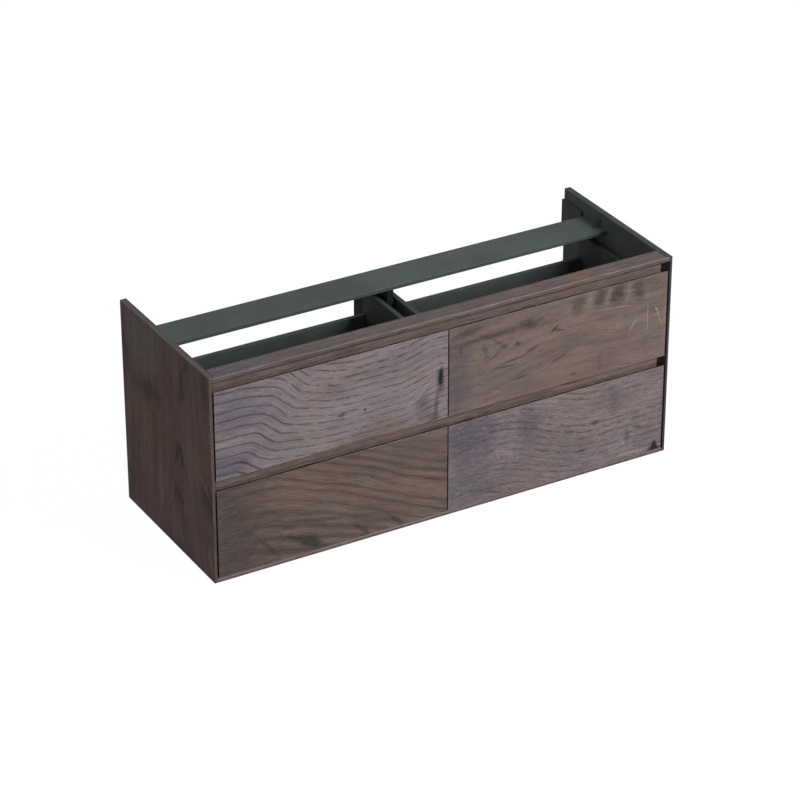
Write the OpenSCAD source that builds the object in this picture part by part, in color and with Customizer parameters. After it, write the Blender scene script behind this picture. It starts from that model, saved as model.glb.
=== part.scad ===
// Wall-hung bathroom vanity cabinet: a mitred oak carcass without a top, with two rows of two
// handleless drawers. The origin is at the bottom centre of the carcass, the drawer fronts face
// -Y and +Z is up. Depths are counted from the front plane and turned into Y by deep().

/* [Cabinet] */
// Overall width
body_w = 1200; // [1000:10:1440]
// Overall depth, from the drawer fronts to the wall
body_d = 438; // [400:1:530]
// Overall height
body_h = 514; // [460:1:620]
// Thickness of the side panels, bottom, divider, top rail and back rail
panel_t = 16; // [15:1:20]
// Flat strip left on the front edges of the sides and the bottom, beside their inner bevel
edge_flat = 6; // [4:0.5:8]
// Height of the top rail's flat front edge
lip_h = 9.5; // [8:0.5:12]
// Depth of the top rail
rail_d = 45; // [42:1:60]

/* [Drawer fronts and grip rails] */
// Thickness of a drawer front
front_t = 16; // [15:1:20]
// Gap seen between a front and the flat edge of the side or the bottom
reveal = 5; // [4:0.5:6]
// Clearance between a front and the inner faces of the sides, bottom and its bevels
front_clear = 2.5; // [2:0.5:4]
// Gap between two fronts side by side
centre_gap = 3; // [2:0.5:5]
// Height of each finger recess
grip_gap = 25.5; // [20:0.5:32]
// Thickness of the grip rails behind the recesses
grip_t = 16; // [15:1:20]
// Air between a closed front and the grip rail behind it
front_air = 2; // [1.5:0.5:4]
// How far a grip rail reaches down behind the front below it
grip_lap_down = 30; // [26:1:40]
// How far the middle grip rail reaches up behind the front above it
grip_lap_up = 14.5; // [10:0.5:18]

/* [Drawer boxes] */
// Thickness of a drawer side and of a drawer back
side_t = 12; // [10:1:16]
// Clearance between a drawer side and the panel beside it
side_gap = 7; // [6:0.5:10]
// Clearance between a drawer box and the grip rail above it
box_clear_top = 11; // [6:1:20]
// Clearance between a drawer box and the grip rail below it
box_clear_bottom = 8; // [6:1:20]
// Height of a drawer back above the drawer bottom
back_h = 75; // [50:1:90]
// Thickness of a drawer bottom
base_t = 8; // [6:1:10]
// Height of a drawer bottom's underside above the lower edge of the sides
base_lift = 13; // [12.5:0.5:16]
// Free depth behind the closed drawers, for the pipes
pipe_space = 95; // [80:1:130]

/* [Rear stretcher] */
// Depth of the stretcher board
stretcher_d = 97; // [80:1:120]
// Thickness of the stretcher board
stretcher_t = 10; // [10:1:16]
// Drop of its upper face below the cabinet's top
stretcher_drop = 35; // [28:1:40]
// Free depth between the stretcher and the wall
stretcher_back_gap = 91; // [84:1:120]
// Height of the lower back rail
back_rail_h = 80; // [60:1:110]

/* [Wall hangers] */
// Depth of a hanger housing
hanger_d = 82; // [70:1:84]
// Height of a hanger housing
hanger_h = 65; // [60:1:90]
// Thickness of a hanger housing
hanger_t = 7; // [6.5:0.5:10]
// Drop of a housing's upper edge below the cabinet's top
hanger_drop = 27; // [20:1:50]
// Radius of the wall-fixing holes in the back rail
wall_hole_r = 3; // [2.5:0.5:5]
// Distance between the two wall-fixing holes
wall_hole_pitch = 1000; // [600:10:1100]

/* [Hidden] */
$fn = 32;

oak = "#6b5d5a";
oak_grey = "#76696c";
anthracite = "#3b403f";
steel = "#a9adb0";
beech = "#c9ab7e";
nylon = "#55585a";

// Bay and drawer positions: side is -1 on the left and 1 on the right, row is 0 below, 1 above
x_in = body_w / 2 - panel_t;
bay_w = x_in - panel_t / 2;
front_margin = edge_flat + reveal;
front_h = (body_h - front_margin - lip_h - 2 * grip_gap) / 2;
end_bevel = panel_t + front_clear - front_margin;
top_land = 1;
panel_bevel = panel_t - edge_flat;
under_top = body_h - panel_t;

function deep(d) = d - body_d / 2;
function bay_x(side) = side * (panel_t / 2 + bay_w / 2);
function front_z(row) = front_margin + row * (front_h + grip_gap);

// Grip rails
grip_y = front_t + front_air;
grip_mid = grip_y + grip_t / 2;
grip_back = grip_y + grip_t;
function grip_low(row) = front_z(row) + front_h - grip_lap_down;
middle_grip_top = front_z(1) + grip_lap_up;

// Runner profile: u is counted inwards from the panel that carries the runner, w from the
// lower edge of the drawer side
rail_wall = 1.5;
rail_drop = 16;
rail_air = 1.5;
web_gap = 2;
carry_start = side_gap + side_t + 1;
carry_w = 40;
carry_u = [carry_start, carry_start + carry_w];
carry_skirt = 7.5;
lip_in = [5.5, 35.5];
lip_u = [carry_start + lip_in[0], carry_start + lip_in[1]];
lip_up = 3;
mid_in = [10, 32.5];
mid_u = [carry_start + mid_in[0], carry_start + mid_in[1]];
mid_drop = 4;
mid_w = [-1, base_lift - mid_drop];
runner_gap = 3;
runner_y = grip_back + runner_gap;
runner_step = 50;
box_end = body_d - pipe_space;
runner_l = runner_step * floor((box_end - runner_y) / runner_step);

// Drawer box: its lower edge clears the grip rail below it and leaves room for the runner
box_lift = max(grip_lap_up + box_clear_bottom, panel_t + rail_drop + rail_air - front_margin);
box_h = front_h - box_lift - grip_lap_down - box_clear_top;
box_w = bay_w - 2 * side_gap;
groove = 6;
groove_play = 0.1;
base_z = base_lift + base_t;
function box_z(row) = front_z(row) + box_lift;

// Stretcher and divider
stretcher_z = body_h - stretcher_drop - stretcher_t;
stretcher_end = body_d - stretcher_back_gap;
stretcher_y = stretcher_end - stretcher_d;
back_rail_y = body_d - panel_t;
post_over = 7;
post_end = rail_d + post_over;
post_drop = 1;
notch_deep = 33;
notch_z = box_z(1) + box_h - notch_deep;
notch_lap = 12;
notch_end = stretcher_y + notch_lap;

// Angle brackets that tie the stretcher's ends to the side panels
bracket_t = 2;
bracket_w = 16;
bracket_leg = 17;
bracket_in = 28;
bracket_y = stretcher_y + bracket_in;
bracket_z = stretcher_z + stretcher_t;
bracket_hole = 11;

// Dowels and cam fittings in the ends of the rails; each place is [depth, height]
dowel_r = 3;
dowel_l = 28;
dowel_fit = 0.1;
dowel_bite = 11;
thin_bite = 8;
stretcher_bite = 6;
bore_over = 0.5;
cam_r = 7.5;
cam_h = 12.5;
cam_in = 24;
cam_fit = 0.1;
bolt_r = 3;
bolt_bite = 10;
rail_shares = [0.36, 0.8];
grip_inset = [12, 14];
stretcher_inset = 22;
back_rail_inset = 20;
side_dowels = [
    [rail_d * rail_shares[0], body_h - panel_t / 2],
    [rail_d * rail_shares[1], body_h - panel_t / 2],
    [grip_mid, under_top - grip_inset[0]], [grip_mid, middle_grip_top - grip_inset[1]],
    [stretcher_y + stretcher_inset, stretcher_z + stretcher_t / 2],
    [stretcher_end - stretcher_inset, stretcher_z + stretcher_t / 2],
    [back_rail_y + panel_t / 2, panel_t + back_rail_h - back_rail_inset]
];
// Each cam also has the depth of the face that its disc is sunk into, and the way it faces
cam_up = [20, 16, 24];
side_cams = [
    [grip_mid, grip_low(1) + cam_up[1], grip_back, -1],
    [grip_mid, grip_low(0) + cam_up[0], grip_back, -1],
    [back_rail_y + panel_t / 2, panel_t + cam_up[2], back_rail_y, 1]
];

// Screws of the cabinet rails, three to a rail, and of the stretcher brackets
screw_r = 1.75;
screw_fit = 0.1;
screw_bite = 7;
screw_head_r = 3.2;
screw_head_h = 2;
screw_w = -(rail_drop + web_gap) / 2;
screw_ends = [18, 22];
runner_screw_y = [
    runner_y + screw_ends[0], runner_y + runner_l / 2, runner_y + runner_l - screw_ends[1]
];

// Dowels of the divider, clear of the rail screws in its foot
floor_dowel_gap = [20, 13];
floor_dowel_end = 40;
divider_floor_dowels = [
    runner_screw_y[0] + floor_dowel_gap[0], runner_screw_y[1] + floor_dowel_gap[1],
    back_rail_y - floor_dowel_end
];
rail_dowel_up = [40, 22];
divider_rail_dowels = [
    [grip_back, grip_low(1) + rail_dowel_up[1], 1], [grip_back, grip_low(0) + rail_dowel_up[0], 1],
    [back_rail_y, panel_t + back_rail_h / 2, -1]
];
stretcher_dowel_in = 60;
divider_stretcher_dowel = stretcher_y + stretcher_dowel_in;

// Hangers
hanger_y = body_d - hanger_d;
hanger_z = body_h - hanger_drop - hanger_h;
hanger_wall = 1.2;
hook_t = 3;
hook_u = 2;
hook_in = 12;
hook_h = 16;
hook_nose = 12;
hook_nose_l = 6;
hook_back = 1.5;
hook_z = hanger_z + hanger_h / 2 - hook_h / 2;
adjust_r = 1.9;
adjust_head_r = 2.4;
adjust_head_h = 1.6;
adjust_l = 46;
adjust_inset = 9;

// A board between two corners, given by width, depth and height spans
module board(x, d, z) {
    translate([x[0], deep(d[0]), z[0]])
        cube([x[1] - x[0], d[1] - d[0], z[1] - z[0]]);
}

// A profile in depth and height, carried along the width
module along_x(x0, x1) {
    translate([x0, deep(0), 0])
        rotate([90, 0, 90])
            linear_extrude(height = x1 - x0)
                children();
}

// A profile in width and depth, carried upwards
module upwards(z0, z1) {
    translate([0, deep(0), z0])
        linear_extrude(height = z1 - z0)
            children();
}

// A profile in width and height, carried from one depth to another
module along_y(d0, d1) {
    translate([0, deep(d1), 0])
        rotate([90, 0, 0])
            linear_extrude(height = d1 - d0)
                children();
}

// Round bars along the three directions, starting at a point given as width, depth, height
module bar_x(x, d, z, l, r) {
    translate([x, deep(d), z])
        rotate([0, 90, 0])
            cylinder(h = l, r = r);
}

module bar_y(x, d, z, l, r) {
    translate([x, deep(d), z])
        rotate([-90, 0, 0])
            cylinder(h = l, r = r);
}

module bar_z(x, d, z, l, r) {
    translate([x, deep(d), z])
        cylinder(h = l, r = r);
}

module both_sides() {
    children();
    mirror([1, 0, 0])
        children();
}

// Dowels between the side panels and what they carry; play turns them into their bores
module side_dowel_set(play = 0, over = 0) {
    both_sides()
        for (p = side_dowels)
            bar_x(x_in - (dowel_l - dowel_bite) - over, p[0], p[1], dowel_l + 2 * over, dowel_r + play);
}

module divider_dowel_set(play = 0, over = 0) {
    for (d = divider_floor_dowels)
        bar_z(0, d, panel_t - dowel_bite - over, dowel_l + 2 * over, dowel_r + play);
    for (p = divider_rail_dowels) {
        start = p[2] > 0 ? p[0] - dowel_bite : p[0] - (dowel_l - dowel_bite);
        bar_y(0, start - over, p[1], dowel_l + 2 * over, dowel_r + play);
    }
    bar_z(0, divider_stretcher_dowel, stretcher_z + stretcher_bite - dowel_l - over,
        dowel_l + 2 * over, dowel_r + play);
}

// Connecting bolts of the cam fittings, from the disc's centre into the side panel
module cam_bolt_set(play = 0, over = 0) {
    both_sides()
        for (p = side_cams)
            bar_x(x_in - cam_in, p[0], p[1], cam_in + bolt_bite + over, bolt_r + play);
}

module cam_disc_set(play = 0, over = 0) {
    both_sides()
        for (p = side_cams) {
            start = p[3] < 0 ? p[2] - cam_h - over : p[2];
            bar_y(x_in - cam_in, start, p[1], cam_h + over, cam_r + play);
        }
}

module carcass_bores() {
    side_dowel_set(dowel_fit, bore_over);
    divider_dowel_set(dowel_fit, bore_over);
    cam_bolt_set(cam_fit, bore_over);
    cam_disc_set(cam_fit, bore_over);
}

// Screws along X through a cabinet rail's flange, for both rails of one drawer
module runner_screw_set(side, row, play = 0, heads = true) {
    translate([bay_x(side), 0, 0])
        both_sides()
            for (d = runner_screw_y) {
                z = box_z(row) + screw_w;
                bar_x(bay_w / 2 - rail_wall, d, z, rail_wall + screw_bite + play, screw_r + play);
                if (heads)
                    bar_x(bay_w / 2 - rail_wall - screw_head_h, d, z, screw_head_h, screw_head_r);
            }
}

// Two screws to a stretcher bracket, one into the side panel and one into the stretcher
module bracket_screw_set(play = 0, heads = true) {
    y = bracket_y + bracket_w / 2;
    bite = bracket_t + screw_bite + play;
    over = heads ? 0 : bore_over;
    both_sides() {
        bar_x(x_in - bracket_t - over, y, bracket_z + bracket_hole, bite + over, screw_r + play);
        bar_z(x_in - bracket_hole, y, bracket_z + bracket_t - bite, bite + over, screw_r + play);
        if (heads) {
            bar_x(x_in - bracket_t - screw_head_h, y, bracket_z + bracket_hole, screw_head_h,
                screw_head_r);
            bar_z(x_in - bracket_hole, y, bracket_z + bracket_t, screw_head_h, screw_head_r);
        }
    }
}

module fixing_screw_set(play = 0, heads = true) {
    for (side = [-1, 1])
        for (row = [0, 1])
            runner_screw_set(side, row, play, heads);
    bracket_screw_set(play, heads);
}

// Side panel with a bevelled inner front edge and a mitred lower edge
module side_panel() {
    difference() {
        intersection() {
            upwards(0, body_h)
                polygon([
                    [body_w / 2, 0], [body_w / 2 - edge_flat, 0], [x_in, panel_bevel],
                    [x_in, body_d], [body_w / 2, body_d]
                ]);
            along_y(0, body_d)
                polygon([[body_w / 2, 0], [body_w / 2, body_h], [x_in, body_h], [x_in, panel_t]]);
        }
        carcass_bores();
        fixing_screw_set(screw_fit, false);
    }
}

module left_side_panel() {
    color(oak)
        mirror([1, 0, 0])
            side_panel();
}

module right_side_panel() {
    color(oak)
        side_panel();
}

module bottom_panel() {
    color(oak)
        difference() {
            intersection() {
                along_x(-body_w / 2, body_w / 2)
                    polygon([[0, 0], [0, edge_flat], [panel_bevel, panel_t], [body_d, panel_t], [body_d, 0]]);
                along_y(0, body_d)
                    polygon([[-body_w / 2, 0], [-x_in, panel_t], [x_in, panel_t], [body_w / 2, 0]]);
            }
            divider_dowel_set(dowel_fit, bore_over);
        }
}

// Divider between the bays: a short front post behind the top rail, and a post that carries the
// stretcher; the rest stays low for pipes
module centre_divider() {
    color(anthracite)
        difference() {
            along_x(-panel_t / 2, panel_t / 2)
                polygon([
                    [grip_back, panel_t], [grip_back, under_top], [rail_d, under_top],
                    [rail_d, body_h - post_drop], [post_end, body_h - post_drop],
                    [post_end, notch_z], [notch_end, notch_z], [notch_end, stretcher_z],
                    [stretcher_end, stretcher_z], [stretcher_end, notch_z],
                    [back_rail_y, notch_z], [back_rail_y, panel_t]
                ]);
            divider_dowel_set(dowel_fit, bore_over);
            fixing_screw_set(screw_fit, false);
        }
}

// Top rail: its ends fill the bevels of the side panels, and its lip is bevelled underneath
module top_front_rail() {
    color(oak_grey)
        difference() {
            intersection() {
                upwards(under_top, body_h)
                    polygon([
                        [-body_w / 2 + edge_flat, 0], [body_w / 2 - edge_flat, 0], [x_in, panel_bevel],
                        [x_in, rail_d], [-x_in, rail_d], [-x_in, panel_bevel]
                    ]);
                along_x(-body_w / 2, body_w / 2)
                    polygon([
                        [0, body_h], [0, body_h - lip_h], [panel_t - lip_h, under_top],
                        [rail_d, under_top], [rail_d, body_h]
                    ]);
            }
            side_dowel_set(dowel_fit, bore_over);
        }
}

module upper_grip_rail() {
    color(oak)
        difference() {
            board([-x_in, x_in], [grip_y, grip_back], [grip_low(1), under_top]);
            carcass_bores();
        }
}

module middle_grip_rail() {
    color(oak)
        difference() {
            board([-x_in, x_in], [grip_y, grip_back], [grip_low(0), middle_grip_top]);
            carcass_bores();
        }
}

module rear_stretcher() {
    color(anthracite)
        difference() {
            board([-x_in, x_in], [stretcher_y, stretcher_end],
                [stretcher_z, stretcher_z + stretcher_t]);
            carcass_bores();
            bracket_screw_set(screw_fit, false);
        }
}

module stretcher_brackets() {
    color(anthracite)
        difference() {
            both_sides() {
                board([x_in - bracket_t, x_in], [bracket_y, bracket_y + bracket_w],
                    [bracket_z, bracket_z + bracket_leg]);
                board([x_in - bracket_leg, x_in], [bracket_y, bracket_y + bracket_w],
                    [bracket_z, bracket_z + bracket_t]);
            }
            bracket_screw_set(screw_fit, false);
        }
}

// Back rail at the foot of the pipe space, with holes for two wall screws
module lower_back_rail() {
    color(anthracite)
        difference() {
            board([-x_in, x_in], [back_rail_y, body_d], [panel_t, panel_t + back_rail_h]);
            carcass_bores();
            both_sides()
                bar_y(wall_hole_pitch / 2, back_rail_y - 1, panel_t + back_rail_h / 2,
                    panel_t + 2, wall_hole_r);
        }
}

module carcass_dowels() {
    color(beech) {
        side_dowel_set();
        divider_dowel_set();
    }
}

// Cam discs with a bore for the bolt and a screwdriver slot in the open face
module cam_discs() {
    slot_l = 10.5;
    slot_w = 1.6;
    slot_deep = 1.5;
    color(steel)
        difference() {
            cam_disc_set();
            cam_bolt_set(cam_fit, 0);
            both_sides()
                for (p = side_cams)
                    translate([x_in - cam_in, deep(p[2]), p[1]])
                        cube([slot_l, 2 * slot_deep, slot_w], center = true);
        }
}

module cam_bolts() {
    color(steel)
        cam_bolt_set();
}

// Soft pads on the grip rails that the closed fronts meet
module bumper_pads() {
    pad_r = 4;
    pad_gap = 0.3;
    pad_inset = 30;
    pad_up = 7;
    rows = [grip_low(1) + pad_up, front_z(1) + pad_up, grip_low(0) + pad_up];
    color(nylon)
        for (z = rows)
            for (side = [-1, 1])
                for (end = [-1, 1])
                    bar_y(bay_x(side) + end * (bay_w / 2 - pad_inset), front_t + pad_gap, z,
                        front_air - pad_gap, pad_r);
}

// Hanger housing: a flat shell that the side panel closes, open towards the wall
module hanger_housing() {
    difference() {
        board([x_in - hanger_t, x_in], [hanger_y, body_d], [hanger_z, hanger_z + hanger_h]);
        board([x_in - hanger_t + hanger_wall, x_in + 1], [hanger_y + hanger_wall, body_d + 1],
            [hanger_z + hanger_wall, hanger_z + hanger_h - hanger_wall]);
        for (z = [hanger_z + adjust_inset, hanger_z + hanger_h - adjust_inset])
            bar_y(x_in - hanger_t / 2, hanger_y - 1, z, hanger_wall + 2, adjust_r + dowel_fit);
    }
}

module left_hanger_housing() {
    color(anthracite)
        mirror([1, 0, 0])
            hanger_housing();
}

module right_hanger_housing() {
    color(anthracite)
        hanger_housing();
}

// Steel hook inside a housing, with a nose that drops over the wall plate
module hanger_hook() {
    board([x_in - hook_u - hook_t, x_in - hook_u], [hanger_y + hook_in, body_d - hook_back],
        [hook_z, hook_z + hook_h]);
    board([x_in - hook_u - hook_t, x_in - hook_u], [body_d - hook_back - hook_nose_l, body_d - hook_back],
        [hook_z - hook_nose, hook_z]);
}

module left_hanger_hook() {
    color(steel)
        mirror([1, 0, 0])
            hanger_hook();
}

module right_hanger_hook() {
    color(steel)
        hanger_hook();
}

module hanger_adjusting_screws() {
    color(steel)
        both_sides()
            for (z = [hanger_z + adjust_inset, hanger_z + hanger_h - adjust_inset]) {
                bar_y(x_in - hanger_t / 2, hanger_y, z, adjust_l, adjust_r);
                bar_y(x_in - hanger_t / 2, hanger_y - adjust_head_h, z, adjust_head_h, adjust_head_r);
            }
}

module fixing_screws() {
    color(steel)
        fixing_screw_set();
}

// Dowels of one drawer box: its sides into the front, and its back between the sides
module box_dowel_set(play = 0, over = 0) {
    front_shares = [0.4, 0.85];
    back_shares = [0.25, 0.75];
    both_sides() {
        for (share = front_shares)
            bar_y(box_w / 2 - side_t / 2, front_t - dowel_bite - over, box_h * share,
                dowel_l + 2 * over, dowel_r + play);
        for (share = back_shares)
            bar_x(box_w / 2 - side_t - (dowel_l - thin_bite) - over, box_end - side_t / 2,
                base_z + back_h * share, dowel_l + 2 * over, dowel_r + play);
    }
}

// Puts a drawer's own pieces in their bay: width from its centre, height from the box's foot
module in_bay(side, row) {
    translate([bay_x(side), 0, box_z(row)])
        children();
}

// Drawer front: mitred where it meets a side panel, and the lower ones at the bottom too; the
// top edge slopes to the rear as a finger grip
module drawer_front(side, row) {
    z0 = front_z(row);
    z1 = z0 + front_h;
    foot = row == 0 ? end_bevel : 0;
    outer = body_w / 2 - front_margin;
    difference() {
        intersection() {
            scale([side, 1, 1])
                upwards(z0, z1)
                    polygon([
                        [centre_gap / 2, 0], [outer, 0], [outer - end_bevel, end_bevel],
                        [outer - end_bevel, front_t], [centre_gap / 2, front_t]
                    ]);
            along_x(-body_w / 2, body_w / 2)
                polygon([
                    [0, z0], [0, z1], [top_land, z1], [front_t, z1 - front_t + top_land],
                    [front_t, z0 + foot], [foot, z0 + foot]
                ]);
        }
        in_bay(side, row)
            box_dowel_set(dowel_fit, bore_over);
    }
}

// Drawer side with a groove for the bottom; end is -1 for the left side and 1 for the right
module box_side(side, row, end) {
    in_bay(side, row)
        difference() {
            scale([end, 1, 1])
                difference() {
                    board([box_w / 2 - side_t, box_w / 2], [front_t, box_end], [0, box_h]);
                    board([box_w / 2 - side_t - 1, box_w / 2 - side_t + groove + groove_play],
                        [front_t - 1, box_end + 1],
                        [base_lift - groove_play, base_z + groove_play]);
                }
            box_dowel_set(dowel_fit, bore_over);
        }
}

module box_back(side, row) {
    in_bay(side, row)
        difference() {
            board([-box_w / 2 + side_t, box_w / 2 - side_t], [box_end - side_t, box_end],
                [base_z, base_z + back_h]);
            box_dowel_set(dowel_fit, bore_over);
        }
}

module box_bottom(side, row) {
    half = box_w / 2 - side_t + groove;
    in_bay(side, row)
        board([-half, half], [front_t, box_end], [base_lift, base_z]);
}

module box_dowels(side, row) {
    in_bay(side, row)
        box_dowel_set();
}

// A runner section in u and w, carried over a span of depth, for both sides of one drawer
module runner_pair(side, row, d0, d1) {
    in_bay(side, row)
        both_sides()
            translate([bay_w / 2, 0, 0])
                along_y(d0, d1)
                    scale([-1, 1])
                        children();
}

module span(u, w) {
    translate([u[0], w[0]])
        square([u[1] - u[0], w[1] - w[0]]);
}

// Plastic catches under the front of a drawer, which clip it onto its runners
module front_catches(side, row) {
    catch_l = 20;
    catch_play = 0.2;
    catch_w = [2, base_lift - catch_play];
    catch_gap = 0.5;
    catch_end = runner_y - catch_gap;
    lever_l = 14;
    lever_w = [5, 8];
    runner_pair(side, row, catch_end - catch_l, catch_end)
        span(carry_u, catch_w);
    runner_pair(side, row, catch_end - catch_l / 2, catch_end)
        span([carry_u[1], carry_u[1] + lever_l], lever_w);
}

// Fixed rail: a flange screwed to the panel, a web under the drawer side and two guiding lips
module cabinet_rails(side, row) {
    difference() {
        runner_pair(side, row, runner_y, runner_y + runner_l)
            union() {
                span([0, rail_wall], [-rail_drop, -web_gap]);
                span([0, lip_u[1] + rail_wall], [-web_gap - rail_wall, -web_gap]);
                for (u = lip_u)
                    span([u, u + rail_wall], [-web_gap - rail_wall, lip_up]);
            }
        runner_screw_set(side, row, screw_fit, false);
    }
}

// Middle rail: a box section that travels half as far as the drawer
module middle_rails(side, row) {
    runner_pair(side, row, runner_y, runner_y + runner_l)
        difference() {
            span(mid_u, mid_w);
            span([mid_u[0] + rail_wall, mid_u[1] - rail_wall], [mid_w[0] + rail_wall, mid_w[1] - rail_wall]);
        }
}

// Drawer rail: an upside-down channel under the drawer bottom
module drawer_rails(side, row) {
    runner_pair(side, row, runner_y, runner_y + runner_l) {
        span(carry_u, [base_lift - rail_wall, base_lift]);
        for (u = [carry_u[0], carry_u[1] - rail_wall])
            span([u, u + rail_wall], [base_lift - rail_wall - carry_skirt, base_lift]);
    }
}

// Every drawer is the same set of pieces, set by its side and its row
module drawer_piece(name, side, row) {
    color(oak) drawer_front(side, row);
    color(anthracite) box_side(side, row, -1);
    color(anthracite) box_side(side, row, 1);
    color(anthracite) box_back(side, row);
    color(anthracite) box_bottom(side, row);
    color(beech) box_dowels(side, row);
    color(nylon) front_catches(side, row);
    color(steel) cabinet_rails(side, row);
    color(steel) middle_rails(side, row);
    color(steel) drawer_rails(side, row);
}

left_side_panel();
right_side_panel();
bottom_panel();
centre_divider();
top_front_rail();
upper_grip_rail();
middle_grip_rail();
rear_stretcher();
stretcher_brackets();
lower_back_rail();
carcass_dowels();
cam_discs();
cam_bolts();
bumper_pads();
left_hanger_housing();
right_hanger_housing();
left_hanger_hook();
right_hanger_hook();
hanger_adjusting_screws();
fixing_screws();
for (row = [0, 1])
    for (side = [-1, 1])
        drawer_piece(str(row == 0 ? "lower" : "upper", side < 0 ? "_left" : "_right"), side, row);
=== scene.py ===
import math

import bmesh
import bpy
from mathutils import Matrix, Vector


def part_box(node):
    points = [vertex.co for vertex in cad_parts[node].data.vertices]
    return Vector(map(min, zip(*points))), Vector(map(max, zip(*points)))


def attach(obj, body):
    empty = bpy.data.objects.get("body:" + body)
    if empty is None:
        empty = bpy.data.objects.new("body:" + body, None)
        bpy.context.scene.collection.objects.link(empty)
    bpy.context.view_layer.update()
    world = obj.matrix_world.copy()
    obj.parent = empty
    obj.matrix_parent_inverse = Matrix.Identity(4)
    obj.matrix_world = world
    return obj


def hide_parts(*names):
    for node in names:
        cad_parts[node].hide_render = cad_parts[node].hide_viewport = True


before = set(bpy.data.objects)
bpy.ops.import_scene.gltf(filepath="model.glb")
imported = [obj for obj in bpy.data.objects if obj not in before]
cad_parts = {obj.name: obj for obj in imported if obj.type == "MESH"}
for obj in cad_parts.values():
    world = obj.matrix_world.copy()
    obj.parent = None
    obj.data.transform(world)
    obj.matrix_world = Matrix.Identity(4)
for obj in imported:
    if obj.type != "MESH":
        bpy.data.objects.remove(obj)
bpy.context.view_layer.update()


# Side panels: two 16 mm boards, veneered outside and on all edges with smoked oak whose grain
# stands upright, and lacquered anthracite inside. Their front edges are bevelled inwards and
# their feet are mitred to the bottom panel. Every sharp edge is eased with fine paper.
def put(tree, kind, sockets=None, **settings):
    """Adds a shader node; each socket takes a value or another node's output."""
    made = tree.nodes.new("ShaderNode" + kind)
    for name, value in settings.items():
        setattr(made, name, value)
    for key, value in (sockets or {}).items():
        if isinstance(value, bpy.types.NodeSocket):
            tree.links.new(value, made.inputs[key])
        else:
            made.inputs[key].default_value = value
    return made


def calc(tree, operation, *values):
    return put(tree, "Math", dict(enumerate(values)), operation=operation).outputs[0]


def total(tree, *values):
    result = values[0]
    for value in values[1:]:
        result = calc(tree, "ADD", result, value)
    return result


def dot(tree, place, direction):
    made = put(tree, "VectorMath", {0: place, 1: direction}, operation="DOT_PRODUCT")
    return made.outputs["Value"]


def fade(tree, value, start, end, low=0.0, high=1.0):
    """Goes smoothly from low at start to high at end."""
    sockets = {0: value, 1: start, 2: end, 3: low, 4: high}
    return put(tree, "MapRange", sockets, interpolation_type="SMOOTHSTEP").outputs[0]


def tint(tree, share, under, over, blend="MIX"):
    """Lays one colour over another by a share from 0 to 1."""
    sockets = {0: share, 6: under, 7: over}
    return put(tree, "Mix", sockets, data_type="RGBA", blend_type=blend).outputs[2]


def cloud(tree, place, stretch, seed, detail=2.0, rough=0.55):
    """Soft noise from 0 to 1, with its own number of clouds to a metre along each direction."""
    moved = put(tree, "Mapping", {0: place, 1: (seed * 3.7, seed * 5.1, seed * 2.3), 3: stretch})
    sockets = {"Vector": moved.outputs[0], "Scale": 1.0, "Detail": detail, "Roughness": rough}
    return put(tree, "TexNoise", sockets).outputs[0]


def colour(code):
    """A paint chart's six-figure code as linear light."""
    parts = [int(code[i:i + 2], 16) / 255 for i in (0, 2, 4)]
    return [p / 12.92 if p <= 0.04045 else ((p + 0.055) / 1.055) ** 2.4 for p in parts] + [1.0]


def new_finish(name):
    finish = bpy.data.materials.new(name)
    finish.use_nodes = True
    finish.node_tree.nodes.clear()
    return finish


def coat(tree, colour_of, roughness, height, bump=0.3, depth=0.0003, **sockets):
    """Ends a material: colour, roughness and a relief height go to one shader."""
    relief = put(tree, "Bump", {"Strength": bump, "Distance": depth, "Height": height})
    shader = put(tree, "BsdfPrincipled", {
        "Base Color": colour_of, "Roughness": roughness, "Normal": relief.outputs[0]})
    for name, value in sockets.items():
        shader.inputs[name.replace("_", " ")].default_value = value
    put(tree, "OutputMaterial", {"Surface": shader.outputs[0]})


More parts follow.
